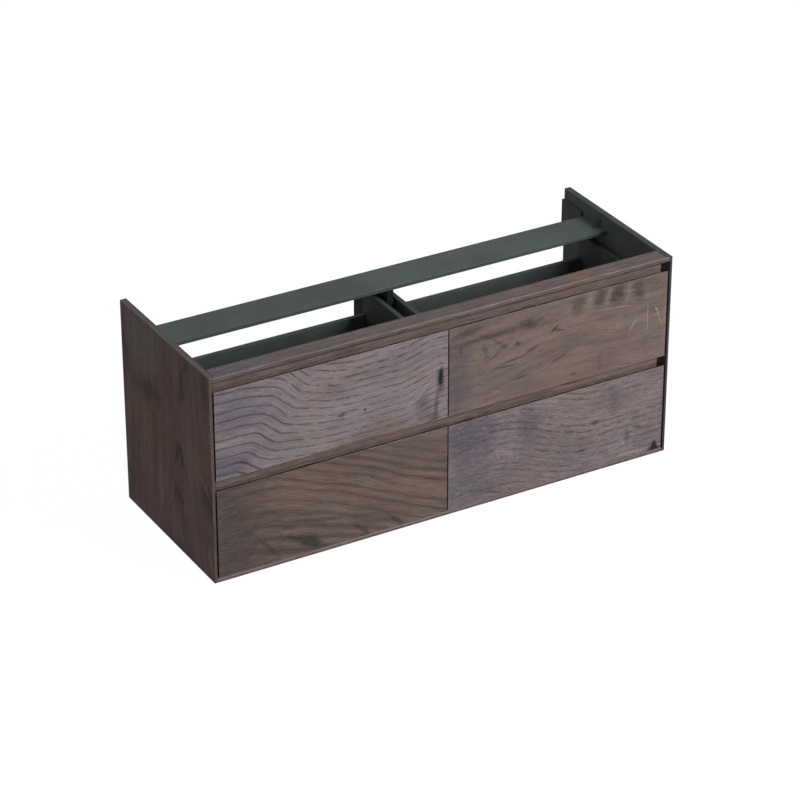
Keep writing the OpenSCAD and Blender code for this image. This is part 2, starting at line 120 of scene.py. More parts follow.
def oak_leaf(name, corner, along, across, tones, seed, lines=45, width=0.17, weight=0.6,
             bands=0.25, sweeps=(), arch=None, wander=0.008, breaks=(0.0, 0.1), marks=(),
             pores=0.35, flecks=0.25, crowd=0.0, dash=34.0, even=0.35, grain=0.8,
             calm=(-0.2, -0.1)):
    """One leaf of smoked oak veneer. The grain runs along one direction from a corner of the
    piece, and lines is the number of growth lines to a metre across it. A sweep is a place along
    the grain, its length, how far the lines drop there and how it leans. An arch is the middle,
    the roundness and the slope of a cathedral figure. A mark is a knot, stain or figure, or a line
    of painted shade: middle, half sizes, turn in degrees, colour, strength and how soft it is.
    crowd draws the lines together along the leaf, dash is how many pieces a broken line has to a
    metre, even is how strong the weakest line is, grain is how much the fine fibres show, and the
    lines come out of a calm start between two places along the leaf."""
    finish = new_finish(name)
    tree = finish.node_tree
    place = put(tree, "TexCoord").outputs["Object"]
    place = put(tree, "Mapping", {0: place, 1: [-c for c in corner]}).outputs[0]
    u = dot(tree, place, along)
    v = dot(tree, place, across)
    leaf = put(tree, "CombineXYZ", {0: u, 1: v, 2: seed * 0.37}).outputs[0]

    drift = cloud(tree, leaf, (3.0, 7.0, 1.0), seed)
    shiver = cloud(tree, leaf, (30.0, 55.0, 1.0), seed + 1)
    closer = fade(tree, u, 0.05, 0.35, 1.0, 1.0 + crowd)
    field = total(tree, calc(tree, "MULTIPLY", v, closer),
                  calc(tree, "MULTIPLY", drift, 2 * wander),
                  calc(tree, "MULTIPLY", shiver, 0.006))
    for start, reach, drop, lean in sweeps:
        run = calc(tree, "SUBTRACT", u, calc(tree, "MULTIPLY", v, lean))
        field = total(tree, field, fade(tree, run, start, start + reach, 0.0, drop))
    if arch:
        middle, roundness, slope = arch
        off = calc(tree, "SUBTRACT", field, middle)
        square = total(tree, calc(tree, "MULTIPLY", off, off), roundness ** 2)
        field = total(tree, calc(tree, "SQRT", square), calc(tree, "MULTIPLY", u, slope))
    ring = calc(tree, "MULTIPLY", field, lines)
    number = put(tree, "TexWhiteNoise", {"W": total(tree, calc(tree, "FLOOR", ring), seed)},
                 noise_dimensions="1D").outputs[0]
    near = calc(tree, "MULTIPLY", calc(tree, "ABSOLUTE", calc(tree, "SUBTRACT", calc(
        tree, "FRACT", ring), 0.5)), 2.0)
    growth = put(tree, "CombineXYZ", {0: u, 1: field, 2: seed * 0.71}).outputs[0]
    gaps = fade(tree, cloud(tree, growth, (dash, 150.0, 1.0), seed + 2, detail=1.0), 0.42, 0.52)
    gaps = calc(tree, "MAXIMUM", gaps, fade(tree, u, breaks[0], breaks[1], 1.0, 0.0))
    grown = fade(tree, u, calm[0], calm[1])
    gaps = calc(tree, "MULTIPLY", gaps, grown)
    dashes = calc(tree, "MULTIPLY", calc(tree, "MULTIPLY", fade(tree, near, 1 - 2 * width, 1.0),
                                         fade(tree, number, 0.0, 1.0, even, 1.0)), gaps)
    soft = calc(tree, "MULTIPLY", calc(tree, "MULTIPLY", fade(tree, near, 0.0, 1.0), grown),
                fade(tree, number, 0.0, 1.0, 0.3, 1.0))
    vessels = fade(tree, cloud(tree, growth, (75.0, 620.0, 1.0), seed + 3, 2.0), 0.55, 0.68)
    rays = fade(tree, cloud(tree, leaf, (70.0, 230.0, 1.0), seed + 4, 2.0), 0.6, 0.7)
    haze = fade(tree, cloud(tree, leaf, (6.0, 18.0, 1.0), seed + 5, 4.0, 0.6), 0.32, 0.68)
    fibre = cloud(tree, growth, (26.0, 620.0, 1.0), seed + 6, 3.0, 0.65)

    light, middle_tone, dark, pore = (colour(code) for code in tones)
    shade = tint(tree, haze, light, middle_tone)
    hue = fade(tree, cloud(tree, leaf, (8.0, 14.0, 1.0), seed + 7, 2.0), 0.35, 0.65)
    hue = tint(tree, hue, [1.03, 0.995, 0.965, 1.0], [0.975, 1.0, 1.025, 1.0])
    shade = tint(tree, 1.0, shade, hue, "MULTIPLY")
    shade = tint(tree, calc(tree, "MULTIPLY", soft, bands), shade, dark)

    def marked(shade, some):
        for at_u, at_v, half_u, half_v, turn, mark_tone, strength, softness in some:
            aim = put(tree, "Mapping", {
                0: leaf, 1: (at_u, at_v, seed * 0.37), 2: (0, 0, math.radians(turn)),
                3: (half_u, half_v, 1.0)}, vector_type="TEXTURE").outputs[0]
            reach = put(tree, "VectorMath", {0: aim}, operation="LENGTH").outputs["Value"]
            ragged = total(tree, reach, shiver, -0.5)
            share = fade(tree, ragged, 1.0, 1.0 - softness, 0.0, strength)
            shade = tint(tree, share, shade, colour(mark_tone))
        return shade

    shade = marked(shade, [mark for mark in marks if mark[6] < 1.0])
    shade = tint(tree, calc(tree, "MULTIPLY", dashes, weight), shade, pore)
    shade = tint(tree, calc(tree, "MULTIPLY", vessels, pores), shade, pore)
    shade = tint(tree, calc(tree, "MULTIPLY", rays, flecks), shade, light)
    shade = marked(shade, [mark for mark in marks if mark[6] == 1.0])
    shade = tint(tree, grain, shade, fade(tree, fibre, 0.25, 0.75, 0.25, 0.75), "SOFT_LIGHT")
    height = total(tree, calc(tree, "MULTIPLY", vessels, -0.6),
                   calc(tree, "MULTIPLY", dashes, -0.7), calc(tree, "MULTIPLY", fibre, 0.5))
    gloss = total(tree, fade(tree, haze, 0.0, 1.0, 0.43, 0.5),
                  calc(tree, "MULTIPLY", vessels, 0.15))
    coat(tree, shade, gloss, height, Specular_IOR_Level=0.3, Coat_Weight=0.05,
         Coat_Roughness=0.4)
    return finish


def anthracite_lacquer(name, seed, code, rough=0.5):
    """Matt anthracite lacquer on a smooth board: a fine orange peel and a faint cloudiness."""
    finish = new_finish(name)
    tree = finish.node_tree
    place = put(tree, "TexCoord").outputs["Object"]
    haze = cloud(tree, place, (9.0, 9.0, 9.0), seed, 3.0)
    peel = cloud(tree, place, (900.0, 900.0, 900.0), seed + 1, 2.0)
    rubbed = cloud(tree, place, (60.0, 260.0, 260.0), seed + 2, 4.0, 0.7)
    base = colour(code)
    shade = tint(tree, fade(tree, haze, 0.3, 0.7), [c * 0.9 for c in base[:3]] + [1.0],
                 [c * 1.12 for c in base[:3]] + [1.0])
    shade = tint(tree, fade(tree, rubbed, 0.62, 0.8, 0.0, 0.25), shade,
                 [c * 1.35 for c in base[:3]] + [1.0])
    coat(tree, shade, fade(tree, rubbed, 0.3, 0.8, rough, rough + 0.14), peel, 0.12, 0.0002,
         Specular_IOR_Level=0.4)
    return finish


def joined_copy(node):
    """A CAD node's shape as a new mesh whose loose triangles are joined into whole faces."""
    form = bmesh.new()
    form.from_mesh(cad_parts[node].data)
    bmesh.ops.remove_doubles(form, verts=form.verts, dist=1e-6)
    bmesh.ops.dissolve_limit(form, angle_limit=math.radians(0.5), verts=form.verts,
                             edges=form.edges)
    return form


def shown(name, mesh, *finishes):
    """Puts a mesh in the scene under its name, with its materials."""
    piece = bpy.data.objects.new(name, mesh)
    bpy.context.scene.collection.objects.link(piece)
    for finish in finishes:
        mesh.materials.append(finish)
    return piece


def settled(piece):
    """Turns what the modifiers make into the piece's own plain mesh."""
    bpy.context.view_layer.update()
    graph = bpy.context.evaluated_depsgraph_get()
    made = bpy.data.meshes.new_from_object(piece.evaluated_get(graph), depsgraph=graph)
    piece.modifiers.clear()
    piece.data = made
    return piece


def eased_board(node, name, arris, *finishes, shortest=0.004, pick=None, arris_shading=None):
    """A board or metal section whose long sharp edges are rounded over by the arris. pick says
    which of the finishes a face takes, from its middle and its normal, and the last keyword
    argument says the same for the rounded edges, so that they may take a painted highlight or
    painted shade. Faces that point the way of a whole face stay flat."""
    sharp_turn, same_way = math.radians(20), 0.9995
    form = joined_copy(node)
    if pick:
        for face in form.faces:
            face.material_index = pick(face.calc_center_median(), face.normal)
    flat = [Vector(way) for way in
            {tuple(round(c, 4) for c in face.normal) for face in form.faces}]
    sharp = [edge for edge in form.edges
             if len(edge.link_faces) == 2 and edge.calc_length() > shortest
             and edge.calc_face_angle(0.0) > sharp_turn]
    rounded = bmesh.ops.bevel(form, geom=sharp, offset=arris, segments=2, profile=0.5,
                              affect="EDGES", clamp_overlap=True, material=-1)
    form.normal_update()
    for face in form.faces:
        face.smooth = False
    for face in rounded["faces"]:
        if any(face.normal.dot(way) > same_way for way in flat):
            continue
        face.smooth = True
        # Rounded edges may take another finish here: a painted highlight or painted shade.
        if arris_shading:
            face.material_index = arris_shading(face.normal, face.material_index)
    mesh = bpy.data.meshes.new(name)
    form.to_mesh(mesh)
    form.free()
    carried = mesh.attributes.get("custom_normal")  # the CAD mesh's shading, now out of date
    if carried:
        mesh.attributes.remove(carried)
    return shown(name, mesh, *finishes)


inner_lacquer = anthracite_lacquer("anthracite_inner_face", 1, "555d5a")
# The right side's bevel tones are its stain darkened nearly to black: painted shade for the deep
# gap behind the ends of the fronts. The left side's are the stain alone.
bevel_tones = {"left": ("5e4e4a", "54443f", "463835", "3a2e2c"),
               "right": ("2b2022", "241a1c", "1c1416", "141010")}
edge_tones = {"left": ("655b5b", "5b5151", "4a4243", "373132"),
              "right": ("4c4b4d", "444345", "39383a", "2b2a2c")}
leaf_seeds = {"left": (11, 17), "right": (23, 29)}
board_arris = 0.0007


def side_face(middle, normal, sign):
    """Oak outside, lacquer inside, stained wood on the bevel, darkened nearly to black on the
    right side as painted shade, and an edging strip in front.
    """
    if normal.x * sign < -0.9:
        return 1
    if normal.y < -0.4 and normal.x * sign < -0.4:
        return 2
    return 3 if normal.y < -0.9 or normal.z > 0.9 else 0


for side, sign in (("left", -1), ("right", 1)):
    outer_seed, edge_seed = leaf_seeds[side]
    side_oak = oak_leaf(
        side + "_side_oak", (sign * 0.6, -0.219, 0), (0, 0, 1), (-sign, 1, 0),
        ("7a605a", "6c544f", "55423f", "3a2f30"), outer_seed, lines=26, width=0.25,
        weight=0.3, bands=0.3, arch=(0.165, 0.012, 0.07), wander=0.02, breaks=(0.0, 0.05),
        even=0.05, grain=0.7,
        marks=((0.46, 0.33, 0.11, 0.14, 14, "706c6b", 0.9, 0.8),
               (0.345, 0.310, 0.045, 0.10, 8, "4d4341", 0.95, 0.9),
               (0.40, 0.430, 0.07, 0.05, 0, "565150", 0.9, 0.9),
               (0.44, 0.138, 0.070, 0.018, 0, "443b39", 0.99, 0.9),
               (0.49, 0.112, 0.034, 0.014, -35, "4a413f", 0.9, 0.9),
               (0.47, 0.02, 0.07, 0.026, 10, "4f4644", 0.9, 0.9),
               (0.243, 0.172, 0.044, 0.011, -22, "423533", 0.95, 0.9),
               (0.248, 0.146, 0.042, 0.011, 22, "423533", 0.95, 0.9),
               (0.271, 0.158, 0.014, 0.022, 0, "423533", 0.95, 0.9),
               (0.146, 0.186, 0.036, 0.010, -18, "453837", 0.95, 0.9),
               (0.146, 0.168, 0.036, 0.010, 18, "453837", 0.95, 0.9),
               (0.195, 0.015, 0.065, 0.045, 40, "493c39", 0.95, 0.8),
               (0.235, 0.035, 0.055, 0.008, 40, "8a7064", 0.8, 0.9),
               (0.05, 0.022, 0.05, 0.016, 15, "95735a", 0.8, 0.9),
               (0.26, 0.08, 0.07, 0.07, 0, "866b5d", 0.7, 0.9),
               (0.24, 0.33, 0.08, 0.06, 0, "84685c", 0.6, 0.9),
               (0.11, 0.257, 0.14, 0.020, 0, "887266", 0.85, 0.9),
               (0.10, 0.150, 0.12, 0.016, 2, "544744", 0.8, 0.9),
               (0.01, 0.165, 0.05, 0.09, 0, "544d49", 0.9, 0.9),
               (0.07, 0.41, 0.10, 0.03, 0, "554e4b", 0.9, 0.9)))
    # The bevel takes the stain, which on the right side is darkened nearly to black as painted
    # shade.
    bevel_stain_and_shade = oak_leaf(side + "_stained_bevel", (0, 0, 0), (0, 0, 1), (1, 0, 0),
                           bevel_tones[side], 3, bands=0.2)
    edge_oak = oak_leaf(
        side + "_edge_oak", (sign * 0.6, -0.219, 0), (0, 0.3, 1), (1, 0, 0),
        edge_tones[side], edge_seed, lines=90, bands=0.4,
        marks=((0.30, 0.006, 0.06, 0.02, 0, "675a58", 0.6, 0.9),
               (0.12, 0.006, 0.05, 0.02, 0, "473f40", 0.6, 0.9)))
    board = eased_board(
        side + "_side_panel", side + "_side_board", board_arris, side_oak, inner_lacquer,
        bevel_stain_and_shade, edge_oak, pick=lambda middle, normal: side_face(middle, normal, sign))
    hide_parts(side + "_side_panel")
    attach(board, "carcass")


# Bottom panel: a 16 mm board, mitred to both side panels, with the same bevel along its front.
# Smoked oak below and in front with the grain along the width, anthracite lacquer inside.
bottom_oak = oak_leaf(
    "bottom_oak", (-0.6, -0.219, 0), (1, 0, 0), (0, 1, 1),
    ("766467", "6b5a5b", "534445", "3a3032"), 31, lines=60, weight=0.4, bands=0.3)
bottom = eased_board(
    "bottom_panel", "bottom_board", board_arris, bottom_oak, inner_lacquer,
    pick=lambda middle, normal: 1 if normal.z > 0.9 else 0)
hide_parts("bottom_panel")
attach(bottom, "carcass")


# Centre divider: a 16 mm anthracite board between the bays. It is cut away low behind the front
# post, so that the pipes and the basins have room, and one post carries the stretcher.
# The divider's lacquer is near black, far darker than the other anthracite: painted shade for the
# deep shadow between the bays.
divider_shade_lacquer = anthracite_lacquer("anthracite_divider", 2, "121615")
divider = eased_board("centre_divider", "divider_board", 0.0006, divider_shade_lacquer)
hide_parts("centre_divider")
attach(divider, "carcass")


# Top rail: an oak rail laid flat between the side panels, flush with their upper edges. Its lip
# is bevelled underneath, and one leaf of veneer is folded over its front edge.
rail_corner = (-0.594, -0.219, 0.5045)
rail_oak = oak_leaf(
    "top_rail_oak", rail_corner, (1, 0, 0), (0, 1, 1),
    ("766869", "685b5b", "534848", "382f31"), 41, lines=70, width=0.2, weight=0.6, bands=0.4,
    wander=0.004, dash=14.0,
    marks=((0.03, 0.03, 0.17, 0.06, 0, "64646e", 0.75, 0.9),
           (0.30, 0.03, 0.03, 0.03, 0, "5e5f64", 0.4, 0.9),
           (0.60, 0.03, 0.03, 0.03, 20, "5b5358", 0.4, 0.9),
           (0.16, 0.035, 0.06, 0.02, 0, "6b5c5c", 0.7, 0.9),
           (0.42, 0.035, 0.04, 0.02, 10, "6b645a", 0.6, 0.9),
           (0.50, 0.025, 0.05, 0.02, 0, "735f63", 0.6, 0.9),
           (0.69, 0.030, 0.04, 0.03, 0, "735c55", 0.6, 0.9),
           (0.84, 0.030, 0.05, 0.03, 0, "705a50", 0.6, 0.9),
           (0.95, 0.03, 0.08, 0.04, 0, "7c6855", 0.7, 0.9),
           (1.03, 0.02, 0.05, 0.02, 0, "74605a", 0.6, 0.9),
           (1.12, 0.03, 0.07, 0.05, 0, "705f60", 0.5, 0.9)))
lip_oak = oak_leaf(
    "top_rail_lip_oak", rail_corner, (1, 0, 0), (0, 1, 1),
    ("776866", "6a5b58", "554846", "3d3233"), 43, lines=90, width=0.2, weight=0.5, bands=0.4,
    wander=0.003, marks=((0.25, 0.005, 0.14, 0.02, 0, "5d5152", 0.6, 0.9),
                         (0.80, 0.005, 0.20, 0.02, 0, "70605a", 0.5, 0.9)))
# Painted highlight: a lighter copy of the rail's oak on the rounded front top arris, where the
# light catches the edge.
arris_shading_oak = oak_leaf(
    "worn_arris_oak", rail_corner, (1, 0, 0), (0, 1, 1),
    ("92827d", "82736f", "6c605f", "574c4c"), 47, lines=120, weight=0.3, bands=0.3)
top_rail = eased_board(
    "top_front_rail", "top_rail", 0.0015, rail_oak, lip_oak, arris_shading_oak,
    pick=lambda middle, normal: 1 if normal.y < -0.5 or normal.z < -0.5 else 0,
    arris_shading=lambda normal, usual: 2 if normal.y < -0.3 and normal.z > 0.3 else usual)
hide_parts("top_front_rail")
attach(top_rail, "carcass")


# Grip rails: two upright oak boards behind the finger recesses, doweled and cammed between the
# side panels. The veneer there is browner, with yellowish streaks.
grip_marks = {
    "upper": ((0.06, 0.03, 0.10, 0.03, 0, "6b5a4c", 0.5, 0.9),
              (0.33, 0.035, 0.05, 0.02, 0, "4c403c", 0.5, 0.9),
              (0.56, 0.03, 0.09, 0.03, 0, "6d5954", 0.5, 0.9),
              (0.90, 0.035, 0.12, 0.02, 0, "6f5b52", 0.5, 0.9)),
    "middle": ((0.20, 0.045, 0.13, 0.03, 0, "77664f", 0.6, 0.9),
               (0.48, 0.045, 0.10, 0.03, 0, "7d6b55", 0.6, 0.9),
               (0.66, 0.04, 0.07, 0.02, 0, "6f5a4f", 0.5, 0.9),
               (0.92, 0.045, 0.05, 0.008, 0, "423737", 0.6, 0.8),
               (0.84, 0.036, 0.05, 0.006, 0, "4a3e3b", 0.5, 0.8))}
line_drop, line_half = 0.0125, 0.0075  # the painted shade line where the fronts' top edges end
for rail, seed, below in (("upper", 51, "upper_left_front"),
                          ("middle", 57, "lower_left_front")):
    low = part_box(rail + "_grip_rail")[0]
    line_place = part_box(below)[1].z - low.z - line_drop
    # A painted shade line: a dark band low on each grip rail, standing for the shade in the gap
    # behind the sloped top edge of the front below.
    shade_line = (0.6, line_place, 4.0, line_half, 0, "241b1b", 0.9, 0.8)
    grip_oak = oak_leaf(
        rail + "_grip_oak", (low.x, low.y, low.z), (1, 0, 0), (0, 1, 1),
        ("7a6a65", "6d5d5a", "534846", "392f30"), seed, lines=55, width=0.2, weight=0.5,
        bands=0.5, wander=0.005, marks=grip_marks[rail] + (shade_line,))
    grip = eased_board(rail + "_grip_rail", rail + "_grip_board", 0.0006, grip_oak)
    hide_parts(rail + "_grip_rail")
    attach(grip, "carcass")


# Rear stretcher: a flat anthracite board that ties the side panels together behind the basins.
# Two small powder-coated steel brackets hold its ends.
# The stretcher's front edge and underside take darker copies of its lacquer as painted shade,
# darkest underneath and on the lower front arris.
stretcher_lacquer = anthracite_lacquer("anthracite_stretcher", 7, "4f5955", 0.46)
stretcher_front_shade = anthracite_lacquer("anthracite_stretcher_edge", 8, "434b48", 0.5)
stretcher_under_shade = anthracite_lacquer("anthracite_stretcher_underside", 9, "17191a", 0.5)
stretcher = eased_board(
    "rear_stretcher", "stretcher_board", 0.0012, stretcher_lacquer, stretcher_front_shade,
    stretcher_under_shade,
    pick=lambda middle, normal: 1 if normal.y < -0.5 else (2 if normal.z < -0.5 else 0),
    arris_shading=lambda normal, usual: 2 if normal.y < -0.3 and normal.z < -0.3 else usual)
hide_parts("rear_stretcher")
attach(stretcher, "carcass")


def powder_coat(name, seed):
    """Anthracite powder coat on steel: a fine leathery texture with a low sheen."""
    finish = new_finish(name)
    tree = finish.node_tree
    place = put(tree, "TexCoord").outputs["Object"]
    grains = put(tree, "TexVoronoi", {"Vector": place, "Scale": 1700.0}).outputs[0]
    haze = cloud(tree, place, (30.0, 30.0, 30.0), seed, 3.0)
    shade = tint(tree, fade(tree, haze, 0.3, 0.7), colour("414845"), colour("4b534f"))
    coat(tree, shade, fade(tree, haze, 0.3, 0.7, 0.44, 0.54), grains, 0.25, 0.0002,
         Specular_IOR_Level=0.5)
    return finish


bracket_coat = powder_coat("bracket_powder_coat", 3)
brackets = eased_board("stretcher_brackets", "stretcher_angle_brackets", 0.0005, bracket_coat)
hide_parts("stretcher_brackets")
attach(brackets, "carcass")


# Lower back rail: a 16 mm board with the same anthracite lacquer as the inside of the cabinet. It
# stands at the foot of the pipe space and is drilled for two wall screws.
back_rail = eased_board("lower_back_rail", "back_rail_board", board_arris, inner_lacquer)
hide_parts("lower_back_rail")
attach(back_rail, "carcass")


# Dowels: fluted beech pegs, 6 mm thick and 28 mm long, glued into bores in the carcass and in
# the drawer boxes. The flutes let the glue rise, and both ends are chamfered.
def turned(name, profile, around, flute=1.0):
    """A lathe-turned mesh: the profile gives radius and height from the foot to the top, and
    every second corner may be drawn in as a flute."""
    form = bmesh.new()
    rings = []
    for radius, height in profile:
        ring = []
        for step in range(around):
            turn = 2 * math.pi * step / around
            r = radius * (flute if step % 2 else 1.0)
            ring.append(form.verts.new((r * math.cos(turn), r * math.sin(turn), height)))
        rings.append(ring)
    for lower, upper in zip(rings, rings[1:]):
        for step in range(around):
            after = (step + 1) % around
            form.faces.new((lower[step], lower[after], upper[after], upper[step]))
    form.faces.new(list(reversed(rings[0])))
    form.faces.new(rings[-1])
    mesh = bpy.data.meshes.new(name)
    form.to_mesh(mesh)
    form.free()
    mesh.shade_smooth()
    mesh.set_sharp_from_angle(angle=math.radians(35))
    return mesh


def fastener_tree():
    """Sets one shape at every point, turned to face the way that the point says."""
    tree = bpy.data.node_groups.new("set_fasteners", "GeometryNodeTree")
    sockets = {}
    for name, kind in (("Places", "NodeSocketGeometry"), ("Shape", "NodeSocketObject"),
                       ("Radius", "NodeSocketFloat"), ("Length", "NodeSocketFloat"),
                       ("Twist", "NodeSocketFloat"), ("Seed", "NodeSocketInt"),
                       ("Finish", "NodeSocketMaterial")):
        sockets[name] = tree.interface.new_socket(name, in_out="INPUT", socket_type=kind)
    tree.interface.new_socket("Fasteners", in_out="OUTPUT", socket_type="NodeSocketGeometry")
    add, join = tree.nodes.new, tree.links.new
    start, end = add("NodeGroupInput"), add("NodeGroupOutput")
    shape = add("GeometryNodeObjectInfo")
    facing = add("GeometryNodeInputNamedAttribute")
    facing.data_type = "FLOAT_VECTOR"
    facing.inputs["Name"].default_value = "facing"
    aim = add("FunctionNodeAlignRotationToVector")
    aim.axis = "Z"
    size = add("ShaderNodeCombineXYZ")
    place = add("GeometryNodeInstanceOnPoints")
    chance = add("FunctionNodeRandomValue")
    chance.data_type = "FLOAT"
    angle = add("ShaderNodeCombineXYZ")
    twist = add("GeometryNodeRotateInstances")
    whole = add("GeometryNodeRealizeInstances")
    paint = add("GeometryNodeSetMaterial")
    join(start.outputs["Shape"], shape.inputs["Object"])
    join(facing.outputs["Attribute"], aim.inputs["Vector"])
    for axis in "XY":
        join(start.outputs["Radius"], size.inputs[axis])
    join(start.outputs["Length"], size.inputs["Z"])
    join(start.outputs["Places"], place.inputs["Points"])
    join(shape.outputs["Geometry"], place.inputs["Instance"])
    join(aim.outputs["Rotation"], place.inputs["Rotation"])
    join(size.outputs[0], place.inputs["Scale"])
    join(start.outputs["Twist"], chance.inputs[3])
    join(start.outputs["Seed"], chance.inputs["Seed"])
    join(chance.outputs[1], angle.inputs["Z"])
    join(place.outputs[0], twist.inputs["Instances"])
    join(angle.outputs[0], twist.inputs["Rotation"])
    join(twist.outputs[0], whole.inputs[0])
    join(whole.outputs[0], paint.inputs["Geometry"])
    join(start.outputs["Finish"], paint.inputs["Material"])
    join(paint.outputs[0], end.inputs[0])
    return tree, {name: socket.identifier for name, socket in sockets.items()}


fasteners, fastener_inputs = fastener_tree()


def bodies_of(node):
    """The separate solids of a CAD node, each as the list of its corner points."""
    form = joined_copy(node)
    left, groups = set(form.verts), []
    while left:
        seeds, group = [left.pop()], []
        while seeds:
            corner = seeds.pop()
            group.append(corner.co.copy())
            for edge in corner.link_edges:
                other = edge.other_vert(corner)
                if other in left:
                    left.remove(other)
                    seeds.append(other)
        groups.append(group)
    form.free()
    return sorted(groups, key=lambda g: tuple(round(sum(p[i] for p in g) / len(g), 4)
                                              for i in range(3)))


def ends_of(points, axis=None):
    """Where a fastener's head is, and the way it faces: out along its axis, from the tip."""
    low = Vector([min(p[i] for p in points) for i in range(3)])
    high = Vector([max(p[i] for p in points) for i in range(3)])
    middle = (low + high) / 2
    if axis is None:
        axis = max(range(3), key=lambda i: high[i] - low[i])
    across = [i for i in range(3) if i != axis]
    spread = {p: math.hypot(*(points[p][i] - middle[i] for i in across))
              for p in range(len(points))}
    widest = max(spread.values())
    rim = [points[p][axis] for p in spread if spread[p] > 0.9 * widest]
    sign = 1 if sum(rim) / len(rim) >= middle[axis] - 1e-6 else -1
    facing, head = Vector((0, 0, 0)), middle.copy()
    facing[axis] = sign
    head[axis] = high[axis] if sign > 0 else low[axis]
    return head, facing


def set_fasteners(name, places, shape, radius, length, finish, twist=6.28, seed=5):
    """One plain mesh with a fastener at each place, made by the fastener tree."""
    points = bpy.data.meshes.new(name)
    points.from_pydata([head for head, facing in places], [], [])
    facing = points.attributes.new("facing", "FLOAT_VECTOR", "POINT")
    facing.data.foreach_set("vector", [part for head, way in places for part in way])
    piece = shown(name, points)
    setter = piece.modifiers.new("fasteners", "NODES")
    setter.node_group = fasteners
    for key, value in (("Shape", shape), ("Radius", radius), ("Length", length),
                       ("Twist", twist), ("Seed", seed), ("Finish", finish)):
        setter[fastener_inputs[key]] = value
    return settled(piece)


def pattern_object(mesh):
    """A shape that is only copied from, and is not itself part of the cabinet."""
    return bpy.data.objects.new(mesh.name, mesh)


beech = new_finish("raw_beech")
beech_tree = beech.node_tree
beech_place = put(beech_tree, "TexCoord").outputs["Object"]
beech_flecks = cloud(beech_tree, beech_place, (500.0, 500.0, 500.0), 3, 2.0)
beech_haze = cloud(beech_tree, beech_place, (60.0, 60.0, 60.0), 4, 2.0)
beech_shade = tint(beech_tree, fade(beech_tree, beech_haze, 0.3, 0.7), colour("cfae82"),
                   colour("bd9566"))
beech_shade = tint(beech_tree, fade(beech_tree, beech_flecks, 0.58, 0.7, 0.0, 0.5), beech_shade,
                   colour("94683f"))
coat(beech_tree, beech_shade, fade(beech_tree, beech_flecks, 0.2, 0.8, 0.55, 0.75),
     beech_flecks, 0.2, 0.0002)

peg_radius, peg_length = 0.003, 0.028
drawers = ("upper_left", "upper_right", "lower_left", "lower_right")
peg = pattern_object(turned(
    "peg_pattern", [(0.72, -1.0), (1.0, -0.95), (1.0, -0.05), (0.72, 0.0)], 24, 0.93))
dowel_groups = [("carcass_dowels", "carcass")]
for drawer in drawers:
    dowel_groups.append((drawer + "_box_dowels", drawer + "_drawer"))
for node, body in dowel_groups:
    pegs = set_fasteners(node.replace("dowels", "pegs"), [ends_of(g) for g in bodies_of(node)],
                         peg, peg_radius, peg_length, beech)
    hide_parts(node)
    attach(pegs, body)


# Cam fittings: 15 mm zinc die-cast discs that a cross-head driver turns, sunk into the rear faces
# of the rails, and the zinc-plated steel bolts that they draw tight.
def zinc_plate(name, seed, code="8d9092", rough=0.34, brushed=(40.0, 900.0, 900.0)):
    """Bright zinc: faint rolling lines, cloudy passivation and small dull spots."""
    finish = new_finish(name)
    tree = finish.node_tree
    place = put(tree, "TexCoord").outputs["Object"]
    lines = cloud(tree, place, brushed, seed, 2.0)
    haze = cloud(tree, place, (70.0, 70.0, 70.0), seed + 1, 4.0, 0.65)
    base = colour(code)
    shade = tint(tree, fade(tree, haze, 0.35, 0.65), base, [c * 0.72 for c in base[:3]] + [1.0])
    shade = tint(tree, fade(tree, lines, 0.5, 0.75, 0.0, 0.3), shade, colour("b8babb"))
    coat(tree, shade, fade(tree, haze, 0.3, 0.7, rough, rough + 0.16), lines, 0.1, 0.0001,
         Metallic=1.0)
    return finish


def cross_cut(mesh, name, arm, blade, deep):
    """The same shape with a cross recess for a driver cut into its top."""
    form = bmesh.new()
    for turn in (0.0, 90.0):
        bar = bmesh.ops.create_cube(form, size=1.0)["verts"]
        bmesh.ops.scale(form, verts=bar, vec=(2 * arm, blade, 2 * deep))
        bmesh.ops.rotate(form, verts=bar, cent=(0, 0, 0),
                         matrix=Matrix.Rotation(math.radians(turn), 3, "Z"))
    cutter_mesh = bpy.data.meshes.new(name + "_cutter")
    form.to_mesh(cutter_mesh)
    form.free()
    cutter = shown(name + "_cutter", cutter_mesh)
    body = shown(name, mesh)
    cut = body.modifiers.new("recess", "BOOLEAN")
    cut.object = cutter
    cut.operation = "DIFFERENCE"
    cut.solver = "EXACT"
    cut.use_self = True
    settled(body)
    made = body.data
    made.shade_smooth()
    made.set_sharp_from_angle(angle=math.radians(35))
    bpy.data.objects.remove(cutter)
    bpy.data.objects.remove(body)
    return made


cast_zinc = zinc_plate("cast_zinc", 12, "85888a", 0.42, (400.0, 400.0, 400.0))
plated_steel = zinc_plate("zinc_plated_steel", 15)
disc = pattern_object(cross_cut(turned(
    "cam_pattern", [(0.94, -1.0), (1.0, -0.96), (1.0, -0.06), (0.95, 0.0), (0.84, 0.0),
                    (0.8, -0.03)], 40), "cam_pattern_cut", 0.55, 0.2, 0.14))
disc_radius, disc_height = 0.0075, 0.0125
disc_places = []
for group in bodies_of("cam_discs"):
    head = ends_of(group, axis=1)[0]
    low_y, high_y = min(p.y for p in group), max(p.y for p in group)
    way = 1 if head.y < 0 else -1
    disc_places.append((Vector((head.x, high_y if way > 0 else low_y, head.z)),
                        Vector((0, way, 0))))
discs = set_fasteners("cam_disc_set", disc_places, disc, disc_radius, disc_height, cast_zinc,
                      twist=0.6)
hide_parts("cam_discs")
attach(discs, "carcass")

